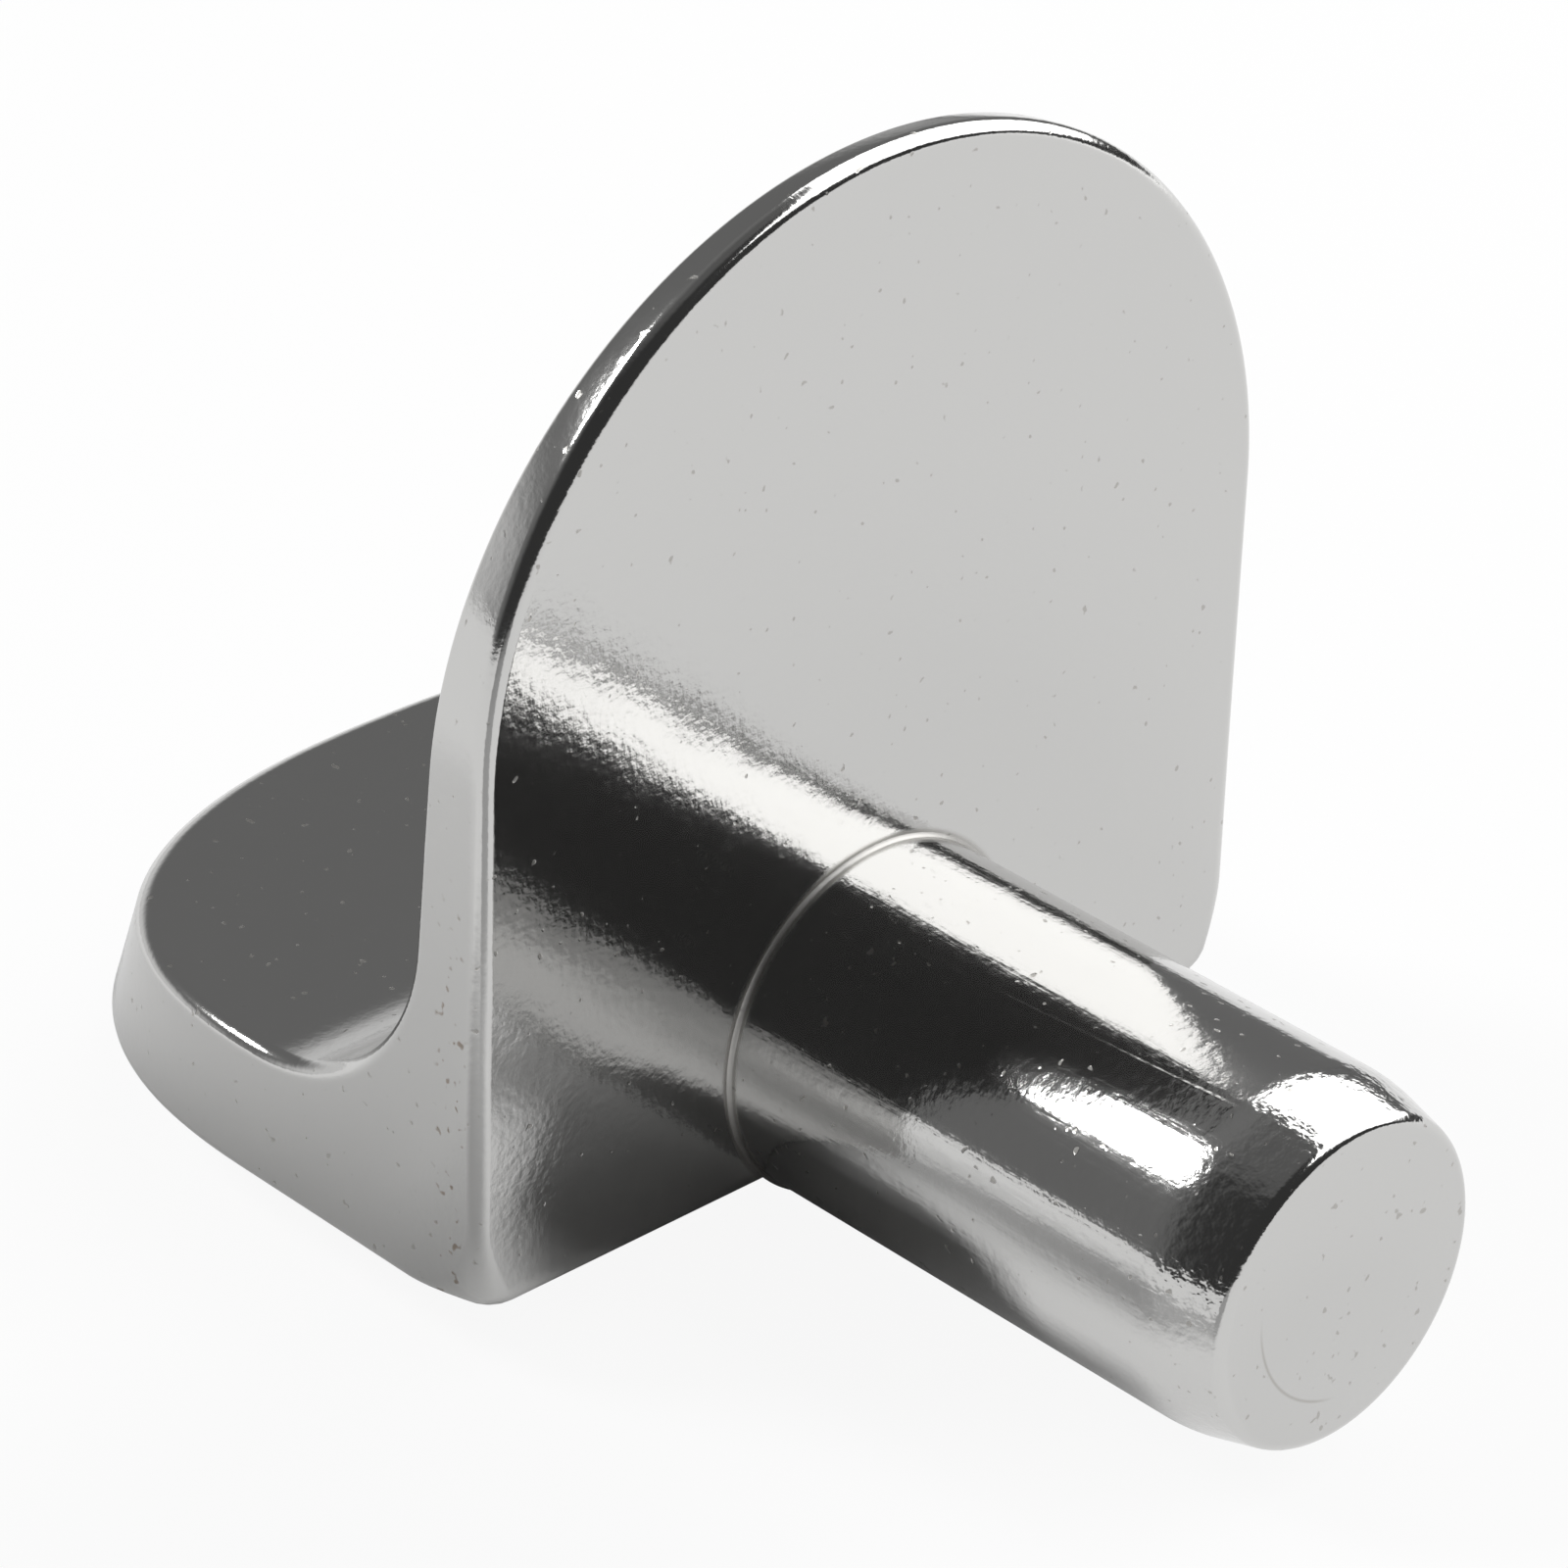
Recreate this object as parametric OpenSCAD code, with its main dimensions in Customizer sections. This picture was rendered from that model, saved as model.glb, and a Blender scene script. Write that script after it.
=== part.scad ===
// Shelf support pin: a one-piece cast support with a round pin for a shelf hole,
// an upright plate that bears on the cabinet side and a tab that carries the shelf.
// Millimetres, +Z up. The origin is where the pin's axis leaves the plate's wall face;
// the pin points along +Y into the cabinet side and the tab reaches out along -Y.

/* [Pin] */
// Diameter of the pin
pin_d = 5; // [3:0.1:8]
// Length of the pin from the wall face to its end
pin_len = 8.4; // [5:0.1:20]
// Length of the tapered lead-in at the pin's end
lead_len = 1; // [0.3:0.05:2]
// Diameter at the small end of the lead-in
lead_d = 4.5; // [2.5:0.05:7]
// Length before the lead-in over which the straight shank begins to turn into it
lead_soft = 0.3; // [0.05:0.05:0.6]
// Radius that softens the rim of the pin's end face
tip_r = 0.15; // [0.05:0.01:0.3]
// How far the pin flares out where it grows from the plate
root_flare = 0.08; // [0.05:0.01:0.6]
// Length of that flare along the pin
root_len = 0.1; // [0.1:0.01:0.8]

/* [Plate] */
// Width of the plate and of the tab
body_w = 13.6; // [9:0.1:24]
// Height of the plate's round top above the pin's axis
plate_top = 12.4; // [10.5:0.1:30]
// Thickness of the plate level with the pin's axis
plate_root_t = 1.5; // [0.8:0.05:3]
// Thickness of the plate at its top
plate_top_t = 0.55; // [0.4:0.05:2]
// Depth of the flat underside below the pin's axis
foot_drop = 1.9; // [1:0.1:5]

/* [Tab] */
// Height of the shelf seat above the pin's axis
seat_rise = 0.2; // [-0.5:0.1:1]
// Radius of the inner corner between the plate and the seat
inner_r = 3.1; // [0.5:0.1:4]
// Length of the seat's straight sides past the inner corner
seat_straight = 0.2; // [0.1:0.1:6]
// Reach of the shelf seat from the wall face
seat_reach = 10; // [8:0.1:25]
// Reach of the underside from the wall face, past the seat because the nose leans
foot_reach = 11; // [8:0.1:26]
// Fullness of the nose: 2 is an ellipse, more is squarer
nose_fullness = 2.4; // [2:0.1:4]

/* [Edges] */
// Radius of the soft cast edge round the wall face and the underside
outer_edge_r = 0.3; // [0.05:0.01:0.35]
// Radius of the soft cast edge round the plate's front and the seat
inner_edge_r = 0.22; // [0.05:0.01:0.3]
// Radius that the outer soft edge grows to at the plate's lower corners
corner_edge_r = 0.75; // [0.3:0.05:1]
// How far from a lower corner the edge is fuller
corner_reach = 1.3; // [0.5:0.1:1.8]

/* [Hidden] */
nickel = [0.78, 0.78, 0.76];
// Facets round the pin, and rows along each stretch of the casting's rim
pin_fn = 96;
arch_rows = 28;
corner_rows = 7;
nose_rows = 28;
// Facets across a soft edge
edge_steps = 5;

pin_r = pin_d / 2;
half_w = body_w / 2;
// Height at which the plate's sides turn into its half-round top
shoulder_z = plate_top - half_w;
// Soft edges are at most as round as the thin top of the plate allows
outer_r = min(outer_edge_r, 0.55 * plate_top_t);
front_r = min(inner_edge_r, 0.4 * plate_top_t);
// The plate thins towards its top, so its front leans back by this slope
lean = (plate_root_t - plate_top_t) / plate_top;
lean_angle = atan(lean);
// Centre of the inner corner's round as (y, z), tangent to the seat and to the leaning front
corner = let (z = seat_rise + inner_r)
    [-plate_root_t + lean * z - inner_r / cos(lean_angle), z];
nose_start = seat_straight - corner.x;

// Points of a round stretch about a centre, from one angle to another
function arc(centre, r, from, to, steps) =
    [for (i = [0 : steps]) let (a = from + (to - from) * i / steps) centre + r * [cos(a), sin(a)]];

// Evenly spaced points from one place up to just short of another
function line(from, to, steps) = [for (i = [0 : steps - 1]) from + (to - from) * i / steps];

function unit(v) = v / norm(v);

// Front of the plate at a height
function front_y(z) = -plate_root_t + lean * z;

// Wall face and underside round the heel as (y, z), from beside the inner corner to below it
heel = concat(
    line([0, corner.y + corner.x * lean], [0, corner_reach - foot_drop], corner_rows),
    line([0, corner_reach - foot_drop], [0, outer_r - foot_drop], edge_steps),
    arc([-outer_r, outer_r - foot_drop], outer_r, 0, -72, 4),
    line([-outer_r, -foot_drop], [-corner_reach, -foot_drop], edge_steps),
    line([-corner_reach, -foot_drop], [corner.x, -foot_drop], corner_rows),
    [[corner.x, -foot_drop]]);

// Radius of the outer soft edge beside a heel point, fuller near the lower corner
function heel_r(h) = let (away = max(h.y + foot_drop, -h.x))
    outer_r + (max(corner_edge_r, outer_r) - outer_r) * pow(max(0, 1 - away / corner_reach), 1.5);

// Angles of the rows round the plate's top, from its crown to its shoulder, and round the nose
arch_angles = [for (i = [0 : arch_rows]) 90 - 90 * i / arch_rows];
nose_angles = [for (i = [0 : nose_rows]) 90 * i / nose_rows];

// Point of the plate's round top at an angle as (x, z), drawn in by a margin
function arch_point(a, margin) = [0, shoulder_z] + (half_w - margin) * [cos(a), sin(a)];

// Point of the nose at an angle as (x, y), on a rounded box curve drawn in by a margin
function nose_point(a, reach, margin) =
    [(half_w - margin) * pow(cos(a), 2 / nose_fullness),
     -nose_start - (reach - margin - nose_start) * pow(sin(a), 2 / nose_fullness)];

// Radii of the soft edges at each row of the rims, from the crown to the nose
outer_radii = concat(
    [for (a = arch_angles) outer_r],
    [for (h = heel) heel_r(h)],
    [for (a = nose_angles) outer_r]);
inner_radii = [for (r = outer_radii) front_r];

// Right half of the rim on the wall face and the underside, drawn in by a share of the edge's radius
function outer_rim(share) = let (margin = share * outer_r) concat(
    [for (a = arch_angles) let (p = arch_point(a, margin)) [p.x, 0, p.y]],
    [for (h = heel) [half_w - share * heel_r(h), h.x, h.y]],
    [for (a = nose_angles) let (p = nose_point(a, foot_reach, margin)) [p.x, p.y, -foot_drop]]);

// The same rows on the plate's front, the inner corner and the seat
function inner_rim(share) = let (margin = share * front_r) concat(
    [for (a = arch_angles) let (p = arch_point(a, margin)) [p.x, front_y(p.y), p.y]],
    [for (h = heel) let (c = corner + inner_r * unit(h - corner)) [half_w - margin, c.x, c.y]],
    [for (a = nose_angles) let (p = nose_point(a, seat_reach, margin)) [p.x, p.y, seat_rise]]);

// Rim drawn in and sunk towards the other face, one step of a soft edge
function soft_rim(rim, sharp, other, radii, a) =
    [for (i = [0 : len(rim) - 1]) rim[i] + radii[i] * (1 - sin(a)) * unit(other[i] - sharp[i])];

// Rims across the casting's thickness, from the edge of the outer flats to the edge of the inner ones
function rims() = let (outer = outer_rim(0), inner = inner_rim(0)) concat(
    [for (a = [90 : -90 / edge_steps : 0])
        soft_rim(outer_rim(1 - cos(a)), outer, inner, outer_radii, a)],
    [for (a = [0 : 90 / edge_steps : 90])
        soft_rim(inner_rim(1 - cos(a)), inner, outer, inner_radii, a)]);

// A right half rim closed to a loop by its mirror image
function loop_of(rim) = let (last = len(rim) - 1)
    concat(rim, [for (i = [last - 1 : -1 : 1]) [-rim[i].x, rim[i].y, rim[i].z]]);

// Plate and tab with soft edges: loops along the rim, skinned, with flats between left and right
module casting() {
    loops = [for (r = rims()) loop_of(r)];
    n = len(loops[0]);
    last = len(loops) - 1;
    walls = [for (k = [0 : last - 1]) for (i = [0 : n - 1])
        [k * n + i, k * n + (i + 1) % n, (k + 1) * n + (i + 1) % n, (k + 1) * n + i]];
    outer_flat = [for (i = [0 : n / 2 - 1]) [i, (n - i) % n, n - i - 1, i + 1]];
    inner_flat = [for (f = outer_flat) [for (j = [3 : -1 : 0]) last * n + f[j]]];
    polyhedron([for (l = loops) each l], concat(walls, outer_flat, inner_flat), convexity = 4);
}

// Half section of the pin as (radius, length): flared root, straight shank, soft shoulder, tapered lead-in
module pin_section() {
    lead_angle = atan((pin_d - lead_d) / 2 / lead_len);
    soft = min(lead_soft, 0.5 * lead_len);
    shoulder = [pin_r, pin_len - lead_len];
    shank_end = shoulder - [0, soft];
    lead_start = shoulder + soft * unit([lead_d / 2 - pin_r, lead_len]);
    polygon(concat(
        [[0, -outer_r], [pin_r, -outer_r]],
        [for (i = [0 : 5]) let (s = i / 5) [pin_r + root_flare * pow(1 - s, 2), root_len * s]],
        [for (i = [0 : 5]) let (s = i / 5)
            pow(1 - s, 2) * shank_end + 2 * s * (1 - s) * shoulder + s * s * lead_start],
        arc([lead_d / 2 - tip_r, pin_len - tip_r], tip_r, lead_angle, 90, 4),
        [[0, pin_len]]));
}

// The pin, from just inside the plate's wall face to its end
module pin() {
    rotate([-90, 0, 0]) rotate_extrude($fn = pin_fn) pin_section();
}

// The whole support, cast in one piece
module shelf_pin() {
    color(nickel) {
        casting();
        pin();
    }
}

shelf_pin();
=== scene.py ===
"""Nickel-plated cast shelf support pin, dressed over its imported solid."""
import math

import bmesh
import bpy
from mathutils import Matrix, Vector


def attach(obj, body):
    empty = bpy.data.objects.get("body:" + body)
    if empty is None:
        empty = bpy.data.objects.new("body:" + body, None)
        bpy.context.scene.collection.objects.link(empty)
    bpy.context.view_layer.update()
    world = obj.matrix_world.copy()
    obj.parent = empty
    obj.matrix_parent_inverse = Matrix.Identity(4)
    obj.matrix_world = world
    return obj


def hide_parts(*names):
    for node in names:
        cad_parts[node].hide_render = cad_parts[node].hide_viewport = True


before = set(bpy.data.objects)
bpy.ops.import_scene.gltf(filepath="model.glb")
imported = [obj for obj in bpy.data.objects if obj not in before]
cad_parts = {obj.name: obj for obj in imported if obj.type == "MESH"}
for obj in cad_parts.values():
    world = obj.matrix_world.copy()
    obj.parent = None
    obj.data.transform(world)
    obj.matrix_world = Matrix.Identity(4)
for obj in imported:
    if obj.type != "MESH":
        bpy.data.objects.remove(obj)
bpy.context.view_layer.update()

# Sizes of the pin in millimetres; the flare at its root is finer than in the solid
PIN_R = 2.5
PIN_LEN = 8.4
LEAD_LEN = 1.0
LEAD_R = 2.25
LEAD_SOFT = 0.3
TIP_R = 0.15
ROOT_FLARE = 0.05
ROOT_LEN = 0.06

# Sizes of the plate and the tab in millimetres
HALF_W = 6.8
PLATE_TOP = 12.4
PLATE_ROOT_T = 1.5
PLATE_TOP_T = 0.55
FOOT = -1.9
SEAT = 0.2
INNER_R = 3.1
SEAT_STRAIGHT = 0.2
SEAT_REACH = 10.0
FOOT_REACH = 11.0
NOSE_FULLNESS = 2.4

# Soft edges in millimetres; the plate's front has a finer one than the seat, and its sides lean in to it
OUTER_EDGE_R = 0.24
INNER_EDGE_R = 0.22
FRONT_EDGE_R = 0.08
EDGE_LEAN = 0.08
# Radius that the outer edge grows to at the plate's lower corners, how far off that starts, and how it fades
CORNER_EDGE_R = 0.75
CORNER_REACH = 1.3
CORNER_FADE = 1.5

# Height where the plate's sides turn into its round top, and the slope of its front
SHOULDER = PLATE_TOP - HALF_W
LEAN = (PLATE_ROOT_T - PLATE_TOP_T) / PLATE_TOP
# Centre of the inner corner's round as (y, z), tangent to the seat and to the plate's leaning front
FRONT_AT_CORNER = -PLATE_ROOT_T + LEAN * (SEAT + INNER_R)
CORNER = Vector((FRONT_AT_CORNER - INNER_R / math.cos(math.atan(LEAN)), SEAT + INNER_R))
NOSE_START = SEAT_STRAIGHT - CORNER.x

# Rows along each stretch of the rim, and facets across the soft edges and round the pin
ARCH_ROWS = 72
NOSE_ROWS = 72
HEEL_ROWS = 18
EDGE_STEPS = 8
SOFT_STEPS = 8
TIP_STEPS = 6
PIN_STEPS = 144
SHARP_ANGLE = math.radians(20)
# Points closer than this, in millimetres, are one
NEAR = 1e-4
MM = 0.001


# Modelling helpers
def close_up(bm):
    """Merges doubles and turns every face outwards."""
    bmesh.ops.remove_doubles(bm, verts=bm.verts[:], dist=NEAR)
    bmesh.ops.dissolve_degenerate(bm, edges=bm.edges[:], dist=NEAR / 10)
    bmesh.ops.recalc_face_normals(bm, faces=bm.faces[:])
    return bm


def thread(bm, points):
    """A line of edges through points."""
    line = [bm.verts.new(p) for p in points]
    return [bm.edges.new(pair) for pair in zip(line, line[1:])]


def edges_of_ring(bm, radius, y):
    """Edges of a turned shape that run round the pin's axis at a radius and a length."""
    def on_ring(v):
        return abs(v.co.y - y) < NEAR and abs(math.hypot(v.co.x, v.co.z) - radius) < 10 * NEAR
    return [e for e in bm.edges if all(on_ring(v) for v in e.verts)]


def as_object(bm, name):
    """An object in the scene made from a bmesh, which is used up."""
    mesh = bpy.data.meshes.new(name)
    bm.to_mesh(mesh)
    bm.free()
    made = bpy.data.objects.new(name, mesh)
    bpy.context.scene.collection.objects.link(made)
    return made


def fused(base, other):
    """Two closed objects joined by a Boolean, as a bmesh; the operands are removed."""
    join = base.modifiers.new("join", "BOOLEAN")
    join.operation = "UNION"
    join.solver = "EXACT"
    join.object = other
    whole = base.evaluated_get(bpy.context.evaluated_depsgraph_get())
    bm = bmesh.new()
    bm.from_mesh(whole.to_mesh())
    whole.to_mesh_clear()
    for used in (base, other):
        bpy.data.objects.remove(used)
    return close_up(bm)


# Rows of the rim, each from the crown of the plate to the tip of the nose
def stretch(start, end, steps):
    """Evenly spaced points from one place up to just short of another."""
    return [Vector(start).lerp(Vector(end), i / steps) for i in range(steps)]


def heel_rows():
    """Wall face and underside round the heel as (y, z), from beside the inner corner to below it."""
    r = OUTER_EDGE_R
    turn = [math.radians(-90 * i / EDGE_STEPS) for i in range(EDGE_STEPS)]
    return [
        *stretch((0, CORNER.y + CORNER.x * LEAN), (0, FOOT + CORNER_REACH), HEEL_ROWS),
        *stretch((0, FOOT + CORNER_REACH), (0, FOOT + r), EDGE_STEPS),
        *[Vector((r * math.cos(a) - r, FOOT + r + r * math.sin(a))) for a in turn],
        *stretch((-r, FOOT), (-CORNER_REACH, FOOT), EDGE_STEPS),
        *stretch((-CORNER_REACH, FOOT), (CORNER.x, FOOT), HEEL_ROWS),
        Vector((CORNER.x, FOOT))]


def heel_edge_r(h):
    """Radius of the outer soft edge beside a heel point, fuller near the plate's lower corner."""
    away = max(h.y - FOOT, -h.x)
    return OUTER_EDGE_R + (CORNER_EDGE_R - OUTER_EDGE_R) * max(0, 1 - away / CORNER_REACH) ** CORNER_FADE


HEEL = heel_rows()
ARCH_ANGLES = [math.pi / 2 * (1 - i / ARCH_ROWS) for i in range(ARCH_ROWS + 1)]
NOSE_ANGLES = [math.pi / 2 * i / NOSE_ROWS for i in range(NOSE_ROWS + 1)]
# Radii of the soft edges at each row
OUTER_RADII = [
    *[OUTER_EDGE_R for a in ARCH_ANGLES],
    *[heel_edge_r(h) for h in HEEL],
    *[OUTER_EDGE_R for a in NOSE_ANGLES]]
INNER_RADII = [
    *[FRONT_EDGE_R for a in ARCH_ANGLES],
    *[INNER_EDGE_R for h in HEEL],
    *[INNER_EDGE_R for a in NOSE_ANGLES]]


def arch_row(a, margin, thickness_at):
    """Point of the plate's round top at an angle, drawn in by a margin."""
    z = SHOULDER + (HALF_W - margin) * math.sin(a)
    return Vector(((HALF_W - margin) * math.cos(a), -thickness_at(z), z))


def nose_row(a, reach, margin, z):
    """Point of the nose at an angle, on a rounded box curve drawn in by a margin."""
    power = 2 / NOSE_FULLNESS
    x = (HALF_W - margin) * max(0, math.cos(a)) ** power
    return Vector((x, -NOSE_START - (reach - margin - NOSE_START) * math.sin(a) ** power, z))


def outer_rim(share):
    """Right half of the rim on the wall face and the underside, drawn in by a share of the edge's radius."""
    margin = share * OUTER_EDGE_R
    return [*[arch_row(a, margin, lambda z: 0) for a in ARCH_ANGLES],
            *[Vector((HALF_W - share * heel_edge_r(h), h.x, h.y)) for h in HEEL],
            *[nose_row(a, FOOT_REACH, margin, FOOT) for a in NOSE_ANGLES]]


def inner_rim(share):
    """The same rows on the plate's front, the inner corner and the seat."""
    margin = share * INNER_EDGE_R
    arch_margin = EDGE_LEAN + share * FRONT_EDGE_R
    round_corner = [CORNER + INNER_R * (h - CORNER).normalized() for h in HEEL]
    return [*[arch_row(a, arch_margin, lambda z: PLATE_ROOT_T - LEAN * z) for a in ARCH_ANGLES],
            *[Vector((HALF_W - margin, c.x, c.y)) for c in round_corner],
            *[nose_row(a, SEAT_REACH, margin, SEAT) for a in NOSE_ANGLES]]


def soft_rims(rim_at, other, radii):
    """Rims round a soft edge, from the edge of the flat to the side wall."""
    sharp = rim_at(0)
    inward = [(o - s).normalized() for o, s in zip(other, sharp)]
    steps = [math.radians(90 - 90 * i / EDGE_STEPS) for i in range(EDGE_STEPS + 1)]
    return [[p + r * (1 - math.sin(a)) * d for p, r, d in zip(rim_at(1 - math.cos(a)), radii, inward)]
            for a in steps]


# The casting
def middle_of(rim):
    """A rim moved to the plane between left and right."""
    return [Vector((0, p.y, p.z)) for p in rim]


def plate_and_tab():
    """Right half skinned over rims from the middle of the outer flats to that of the inner ones, mirrored."""
    outer = soft_rims(outer_rim, inner_rim(0), OUTER_RADII)
    inner = soft_rims(inner_rim, outer_rim(0), INNER_RADII)
    rims = [*outer, *reversed(inner)]
    bm = bmesh.new()
    lines = [thread(bm, rim) for rim in (middle_of(rims[0]), *rims, middle_of(rims[-1]))]
    for near, far in zip(lines, lines[1:]):
        bmesh.ops.bridge_loops(bm, edges=near + far)
    close_up(bm)
    bmesh.ops.mirror(bm, geom=bm.verts[:] + bm.edges[:] + bm.faces[:], axis="X", merge_dist=NEAR)
    return as_object(close_up(bm), "plate_and_tab")


def pin_turning():
    """The pin turned from its half section: flared root, straight shank, soft shoulder, tapered lead-in."""
    shares = [s / SOFT_STEPS for s in range(SOFT_STEPS + 1)]
    flare = [(PIN_R + ROOT_FLARE * (1 - s) ** 2, ROOT_LEN * s) for s in shares]
    shoulder = Vector((PIN_R, PIN_LEN - LEAD_LEN))
    shank_end = shoulder - Vector((0, LEAD_SOFT))
    lead_start = shoulder + LEAD_SOFT * Vector((LEAD_R - PIN_R, LEAD_LEN)).normalized()
    soft = [(1 - s) ** 2 * shank_end + 2 * s * (1 - s) * shoulder + s * s * lead_start for s in shares]
    section = [(0, -OUTER_EDGE_R), (PIN_R, -OUTER_EDGE_R), *flare, *soft, (LEAD_R, PIN_LEN), (0, PIN_LEN)]
    bm = bmesh.new()
    line = thread(bm, [(r, y, 0) for r, y in section])
    bmesh.ops.spin(bm, geom=bm.verts[:] + line, cent=(0, 0, 0), axis=(0, 1, 0), angle=2 * math.pi,
                   steps=PIN_STEPS, use_merge=True)
    close_up(bm)
    bmesh.ops.bevel(bm, geom=edges_of_ring(bm, LEAD_R, PIN_LEN), offset=TIP_R, offset_type="OFFSET",
                    segments=TIP_STEPS, profile=0.5, affect="EDGES", material=-1, clamp_overlap=False)
    return as_object(close_up(bm), "pin_turning")


def shelf_pin_casting():
    """Plate, tab and pin as one smooth casting with soft edges."""
    bm = fused(plate_and_tab(), pin_turning())
    bmesh.ops.scale(bm, verts=bm.verts[:], vec=(MM, MM, MM))
    casting = as_object(bm, "shelf_pin_casting")
    casting.data.shade_smooth()
    casting.data.set_sharp_from_angle(angle=SHARP_ANGLE)
    flats = casting.modifiers.new("even_flats", "WEIGHTED_NORMAL")
    flats.keep_sharp = True
    flats.weight = 80
    return casting


# Shader maths on sockets
class Value:
    """A socket of a node tree, with the operators that the finish and the studio use."""

    def __init__(self, tree, socket):
        self.tree = tree
        self.socket = socket

    def node(self, kind, settings=None, out=0, at=None, **inputs):
        """Adds a node to the same tree."""
        return add_node(self.tree, kind, settings, out, at, **inputs)

    def math(self, operation, *terms):
        return self.node("ShaderNodeMath", {"operation": operation}, at=dict(enumerate(terms)))

    def __add__(self, other):
        return self.math("ADD", self, other)

    def __radd__(self, other):
        return self.math("ADD", self, other)

    def __sub__(self, other):
        return self.math("SUBTRACT", self, other)

    def __rsub__(self, other):
        return self.math("SUBTRACT", other, self)

    def __mul__(self, other):
        return self.math("MULTIPLY", self, other)

    def __rmul__(self, other):
        return self.math("MULTIPLY", self, other)

    def __pow__(self, other):
        return self.math("POWER", self, other)

    def __neg__(self):
        return self.math("MULTIPLY", self, -1)

    def __abs__(self):
        return self.math("ABSOLUTE", self)

    def larger(self, other):
        """The larger of two values."""
        return self.math("MAXIMUM", self, other)

    def rise(self, low, high):
        """Smooth rise from 0 to 1 between two values."""
        settings = {"interpolation_type": "SMOOTHSTEP"}
        return self.node("ShaderNodeMapRange", settings, Value=self, From_Min=low, From_Max=high)

    def fall(self, low, high):
        """Smooth fall from 1 to 0 between two values."""
        return 1 - self.rise(low, high)


def feed(tree, place, item):
    """Links a wrapped socket to an input, or sets the input to a plain value."""
    if isinstance(item, Value):
        tree.links.new(item.socket, place)
    else:
        place.default_value = item


def add_node(tree, kind, settings=None, out=0, at=None, **inputs):
    """Adds a node, sets its properties, feeds its inputs by name or by place, and wraps one output."""
    made = tree.nodes.new(kind)
    for name, setting in (settings or {}).items():
        setattr(made, name, setting)
    for name, item in inputs.items():
        feed(tree, made.inputs[name.replace("_", " ")], item)
    for place, item in (at or {}).items():
        feed(tree, made.inputs[place], item)
    return Value(tree, made.outputs[out])


def empty_tree(owner, output):
    """The emptied node tree of a material or a world, and its surface input."""
    owner.use_nodes = True
    tree = owner.node_tree
    tree.nodes.clear()
    return tree, tree.nodes.new(output).inputs["Surface"]


def axes(vector):
    """The three parts of a vector."""
    return [vector.node("ShaderNodeSeparateXYZ", out=i, Vector=vector) for i in range(3)]


def object_place(tree):
    """The place on an object in metres, and its three parts in millimetres."""
    place = add_node(tree, "ShaderNodeTexCoord", out="Object")
    return place, *[part * (1 / MM) for part in axes(place)]


def distance(a, b):
    """Length of a step that goes a one way and b at right angles to it."""
    return (a * a + b * b) ** 0.5


def noise(place, scale, detail, roughness):
    return place.node("ShaderNodeTexNoise", Vector=place, Scale=scale, Detail=detail, Roughness=roughness)


def blended(share, base, other):
    """A colour mixed towards another by a share."""
    return share.node("ShaderNodeMix", {"data_type": "RGBA"}, 2, {0: share, 6: base, 7: other})


def mixed(share, base, other):
    """A shader mixed towards another by a share."""
    return share.node("ShaderNodeMixShader", at={0: share, 1: base, 2: other})


def ray(tree, kind):
    """1 for one kind of ray of light and 0 for the others."""
    return add_node(tree, "ShaderNodeLightPath", out=f"Is {kind} Ray")


# Finish of the casting
NICKEL = (0.59, 0.587, 0.578, 1)
PIT_AND_SHADE_GREY = (0.46, 0.45, 0.43, 1)
STAIN_BROWN = (0.26, 0.20, 0.15, 1)
SEAM_ANGLE = math.radians(66)
MARK_R = 1.785


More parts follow.
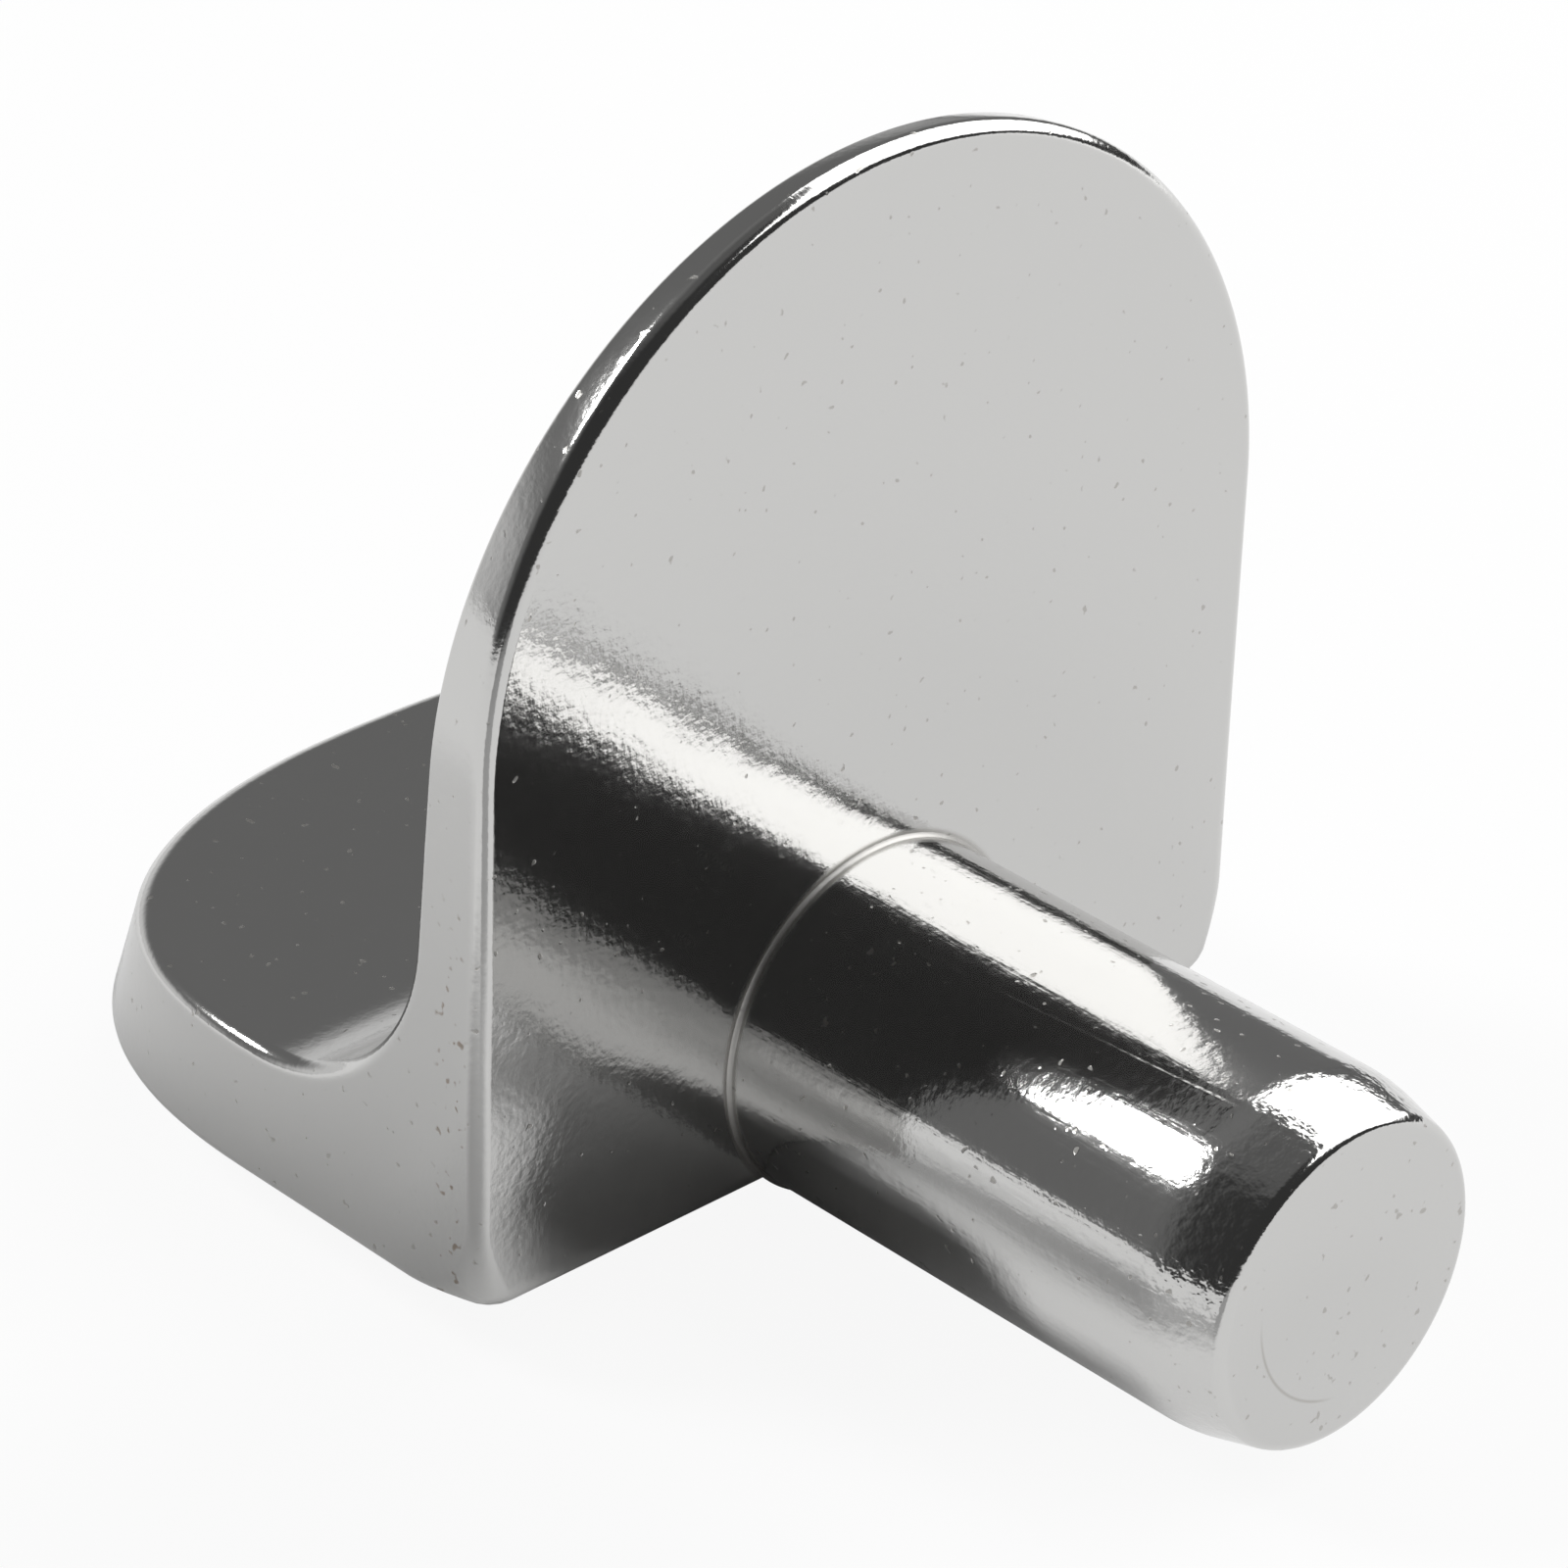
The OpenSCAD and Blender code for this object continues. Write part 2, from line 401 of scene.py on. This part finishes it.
def nickel_plate():
    """Polished nickel over a zinc casting: waviness, drawn lines on the pin, pits, stains, a parting line."""
    material = bpy.data.materials.new("nickel_plate")
    tree, surface = empty_tree(material, "ShaderNodeOutputMaterial")
    place, x, y, z = object_place(tree)
    on_pin = y.rise(0.1, 0.4)
    on_lead = y.rise(7.0, 7.5) * y.fall(8.27, 8.36)
    on_end = y.rise(8.36, 8.39)
    on_side = abs(x).rise(6.5, 6.7) * y.rise(-0.9, -0.6) * y.fall(-0.35, -0.15) * z.fall(2.0, 5.0)
    # Thin crease where the pin grows from the wall face: painted greyer as shade, and made rougher
    at_root = y.rise(-0.06, -0.02) * y.fall(0.08, 0.16)
    from_axis = distance(x, z)
    crease_shade = from_axis.rise(2.48, 2.51) * from_axis.fall(2.56, 2.64) * at_root
    # The parting line runs a little aslant along the top of the pin
    off_seam = abs(math.cos(SEAM_ANGLE) * z - math.sin(SEAM_ANGLE) * x + 0.25 - 0.057 * y)
    seam = off_seam.fall(0.0, 0.06) * on_pin * y.fall(7.0, 7.3)
    # Part of a fine round mark shows on the pin's end
    off_mark = abs(distance(x + 0.25, z - 0.14) - MARK_R)
    mark = off_mark.fall(0.0, 0.035) * on_end * x.rise(0.0, 0.5) * z.fall(-0.5, 0.3)
    # Pits, in clusters; on the sides of the plate they hold a little brown residue
    mottle = noise(place, 1600, 3, 0.6)
    pit_field = noise(place, 6500, 1, 0.5)
    pits = (pit_field + 0.16 * mottle).rise(0.785, 0.85)
    stains = (pit_field + 0.1 * mottle).rise(0.70, 0.76) * on_side
    # Surface relief in thousandths of a millimetre
    along_pin = place.node("ShaderNodeMapping", Vector=place, Scale=(1, 0.06, 1))
    waves = 30 * noise(place, 300, 2, 0.5)
    grain = 3 * noise(place, 8000, 2, 0.5) + 3 * mottle
    lines = 2.5 * noise(along_pin, 9000, 2, 0.6) * on_pin
    rough_lead = 12 * noise(place, 6500, 2, 0.5) * on_lead
    height = waves + grain + lines + rough_lead + 3 * seam - 1.5 * pits - 2 * mark
    bump = height.node("ShaderNodeBump", Height=height, Strength=1.0, Distance=MM * MM)
    roughness = 0.085 + 0.05 * mottle + 0.2 * pits + 0.2 * stains + 0.3 * crease_shade
    # Pits and the round mark are grey in the metal itself; the crease at the root is greyed as painted shade
    pitted_and_shaded = blended(pits.larger(0.8 * crease_shade).larger(mark), NICKEL, PIT_AND_SHADE_GREY)
    tint = blended(0.7 * stains, pitted_and_shaded, STAIN_BROWN)
    shader = add_node(tree, "ShaderNodeBsdfPrincipled", Base_Color=tint, Metallic=1.0, Roughness=roughness,
                      Normal=bump)
    feed(tree, surface, shader)
    return material


# Studio
WHITE = (1, 1, 1, 1)
PALE_PAPER = (0.72, 0.72, 0.72, 1)
SHADED_PAPER = (0.44, 0.44, 0.44, 1)
# Half the table's side in metres, and how far it lies below the tab in millimetres, clear of the pin
TABLE_HALF = 0.6
TABLE_DROP = 0.9


def studio_floor():
    """Pale table, white to the lens; in the metal it shows a painted white glow, apart from painted shade
    near the object.
    """
    material = bpy.data.materials.new("white_floor")
    tree, surface = empty_tree(material, "ShaderNodeOutputMaterial")
    x, y = object_place(tree)[1:3]
    # Painted shade under the pin, beside the plate, in a strip ahead of the pin's end and far off on one side
    from_tab = distance(x - 6, y + 6)
    from_pin = distance(1.35 * x, 1.6 * y)
    under_pin = abs(x).fall(1.5, 3.2) * y.fall(5.5, 7.5)
    beside_plate = ((x - 11.5) ** 2 + (y - 3) ** 2).fall(4.0, 60.0)
    ahead = x + y
    front_strip = ahead.rise(12.0, 22.0) * (abs(x - y) - 0.25 * ahead).fall(-1.0, 2.0)
    far_side = from_tab.rise(60.0, 200.0) * (-x).rise(0.0, 60.0)
    round_pin = from_pin.rise(6.0, 7.8) * (1 - 0.8 * under_pin) * y.rise(-2.0, 1.5) * (1 - beside_plate)
    bright = from_tab.rise(8.0, 22.0).larger(round_pin) * (1 - far_side) * (1 - front_strip)
    # Lit and shaded copies of the paper; the darker one is painted shade beside the plate and in the strip
    pale = add_node(tree, "ShaderNodeBsdfDiffuse", Color=PALE_PAPER)
    shaded = add_node(tree, "ShaderNodeBsdfDiffuse", Color=SHADED_PAPER)
    lit = mixed(beside_plate.larger(front_strip), pale, shaded)
    glow = add_node(tree, "ShaderNodeEmission", Color=WHITE, Strength=1.0)
    seen = 0.92 * ray(tree, "Camera").larger(ray(tree, "Transmission"))
    # Glow seen only from the metal, a painted reflection of a lit white table, less where shade is painted
    mirrored = 0.82 * bright * ray(tree, "Glossy")
    feed(tree, surface, mixed(seen.larger(mirrored), lit, glow))
    bm = bmesh.new()
    bmesh.ops.create_grid(bm, x_segments=1, y_segments=1, size=TABLE_HALF)
    bmesh.ops.translate(bm, verts=bm.verts[:], vec=(0, 0, (FOOT - TABLE_DROP) * MM))
    floor = as_object(bm, "floor")
    floor.data.materials.append(material)


def softbox(name, shape, centre, aim, width, height, radiance):
    """A lamp of even radiance at a place, facing along a direction."""
    lamp = bpy.data.lights.new(name, "AREA")
    lamp.shape = shape
    lamp.size = width
    lamp.size_y = height
    area = width * height * (math.pi / 4 if shape == "ELLIPSE" else 1)
    # An area lamp's radiance is its power over pi times its area
    lamp.energy = radiance * math.pi * area
    made = bpy.data.objects.new(name, lamp)
    made.location = centre
    made.rotation_euler = (-Vector(aim)).to_track_quat("Z", "Y").to_euler()
    bpy.context.scene.collection.objects.link(made)


def dim_room():
    """Dark room, lighter on the tab's side and overhead; white where the lens looks past the floor."""
    world = bpy.data.worlds.new("dim_room")
    bpy.context.scene.world = world
    tree, surface = empty_tree(world, "ShaderNodeOutputWorld")
    y, z = axes(add_node(tree, "ShaderNodeTexCoord", out="Generated"))[1:]
    behind = (-y).rise(0.0, 0.6)
    low_behind = (-y).rise(0.6, 0.9) * z.fall(0.12, 0.42)
    above = z.rise(0.8, 0.97)
    strength = 0.045 + 0.14 * behind + 0.6 * low_behind + 0.09 * above
    room = add_node(tree, "ShaderNodeBackground", Color=WHITE, Strength=strength)
    white = add_node(tree, "ShaderNodeBackground", Color=WHITE, Strength=1.0)
    feed(tree, surface, mixed(ray(tree, "Camera"), room, white))


# Place of the lens in millimetres, its direction and roll in degrees, and its focal length for a 36 mm frame
LENS_PLACE = Vector((53.654, 52.881, 46.086))
LENS_AZIMUTH = math.radians(135.516)
LENS_ELEVATION = math.radians(29.553)
LENS_ROLL = math.radians(-2.11)
FOCAL_LENGTH = 155.77


def photo_camera():
    """Long lens above the pin's end, turned a little about its line of sight."""
    right = Vector((math.cos(LENS_AZIMUTH), math.sin(LENS_AZIMUTH), 0))
    level_back = Vector((math.sin(LENS_AZIMUTH), -math.cos(LENS_AZIMUTH), 0))
    back = level_back * math.cos(LENS_ELEVATION) + Vector((0, 0, math.sin(LENS_ELEVATION)))
    up = back.cross(right)
    across = right * math.cos(LENS_ROLL) - up * math.sin(LENS_ROLL)
    upright = right * math.sin(LENS_ROLL) + up * math.cos(LENS_ROLL)
    lens = bpy.data.cameras.new("photo_camera")
    lens.sensor_width = 36
    lens.lens = FOCAL_LENGTH
    lens.clip_start = 0.005
    lens.clip_end = 5
    camera = bpy.data.objects.new("photo_camera", lens)
    turn = Matrix((across, upright, back)).transposed().to_4x4()
    camera.matrix_world = Matrix.Translation(LENS_PLACE * MM) @ turn
    bpy.context.scene.collection.objects.link(camera)
    bpy.context.scene.camera = camera


casting = shelf_pin_casting()
casting.data.materials.append(nickel_plate())
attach(casting, "root")
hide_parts("shelf_pin")

studio_floor()
softbox("side_panel", "RECTANGLE", centre=(-0.1725, 0.06, 0.1025), aim=(0.349, 0, -0.937),
        width=0.28, height=0.272, radiance=2.65)
softbox("back_lamp", "ELLIPSE", centre=(0.1351, -0.1729, 0.2046), aim=(-0.4503, 0.5763, -0.682),
        width=0.106, height=0.106, radiance=20)
dim_room()
photo_camera()
bpy.context.scene.view_settings.view_transform = "Standard"
